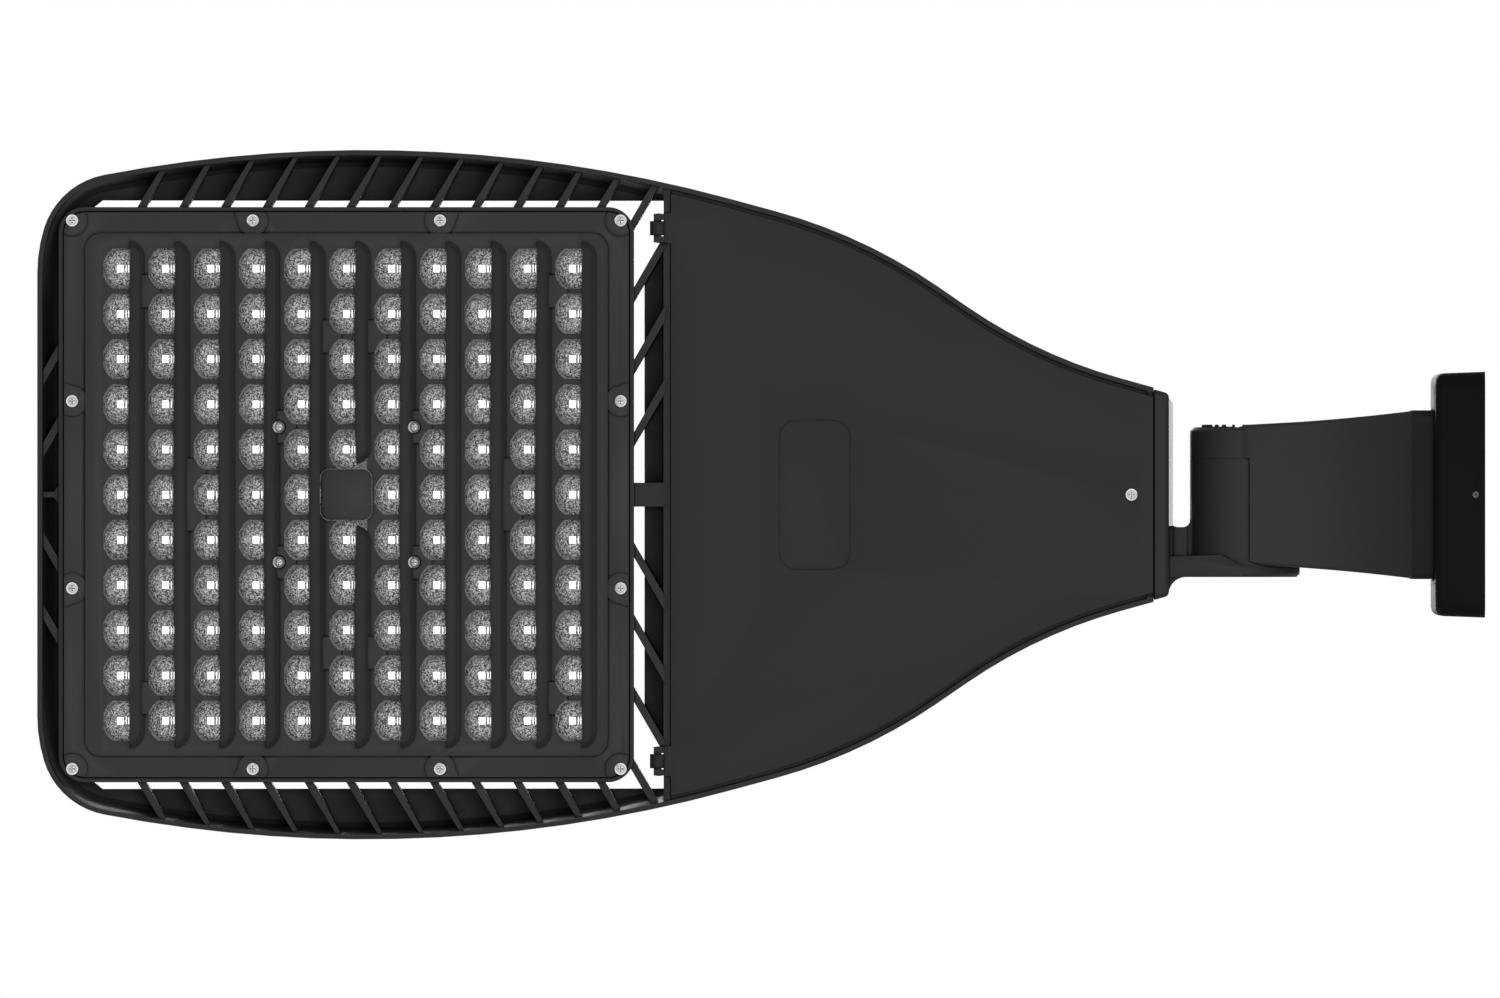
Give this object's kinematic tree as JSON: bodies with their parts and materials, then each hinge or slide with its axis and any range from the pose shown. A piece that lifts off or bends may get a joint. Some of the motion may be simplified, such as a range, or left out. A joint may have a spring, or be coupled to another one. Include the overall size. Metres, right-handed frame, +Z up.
{
  "type": "shoebox area light",
  "caption": "Outdoor LED area light: a finned die-cast head with an optic tray and a hinged driver door, on a tilting knuckle arm with a pole plate.",
  "frame": {"origin": "centre of the pole plate's mounting face, on the pole's flat side", "axes": "+X into the pole, along the head's length from nose to pole; +Z up; the head reaches out along -X and shines down, -Z"},
  "size_m": [0.7232, 0.3446, 0.1624],
  "materials": {
    "painted_casting": "satin dark bronze powder coat on die-cast aluminium",
    "painted_plate": "satin near-black powder coat on die-cast aluminium",
    "seal": "matt black silicone",
    "zinc_steel": "zinc plated",
    "board": "white solder mask on aluminium",
    "chip": "yellow phosphor",
    "lens": "moulded clear domes with a fine grain",
    "shield_plastic": "moulded dark bronze",
    "driver_case": "plain sheet",
    "black_plastic": "black potting case",
    "pale_plastic": "cream moulded",
    "wire": "black sleeve",
    "green_screw": "green passivated"
  },
  "bodies": {
    "root": {"pole_plate": "painted_plate", "pole_bracket": "zinc_steel", "wire_bushing": "seal", "set_screw": "zinc_steel", "arm": "painted_casting", "arm_bolts": "zinc_steel", "tilt_nut": "zinc_steel", "knuckle_seal": "seal"},
    "head": {"housing": "painted_casting", "door_gasket": "seal", "hinge_pins": "zinc_steel", "led_board": "board", "led_chips": "chip", "lens_gasket": "seal", "lens_plate": "lens", "light_shield": "shield_plastic", "centre_cap": "shield_plastic", "shield_screws": "zinc_steel", "optic_screws": "zinc_steel", "driver_front": "driver_case", "driver_rear": "driver_case", "driver_screws": "zinc_steel", "surge_protector": "black_plastic", "terminal_block": "pale_plastic", "harness": "wire", "harness_grommet": "seal", "ground_screw": "green_screw", "bracket_gasket": "seal", "knuckle_bracket": "painted_casting", "bracket_bolts": "zinc_steel", "tilt_bolt": "zinc_steel"},
    "door": {"driver_door": "painted_casting", "door_screw": "zinc_steel", "screw_retainer": "seal"}
  },
  "joints": [
    {"name": "head_tilt", "type": "hinge", "parent": "root", "child": "head", "pos_m": [-0.12, 0, 0], "axis": [0, 1, 0], "range_deg": [0, 90]},
    {"name": "door_hinge", "type": "hinge", "parent": "head", "child": "door", "pos_m": [-0.4124, 0, -0.0268], "axis": [0, 1, 0], "range_deg": [0, 90]}
  ]
}
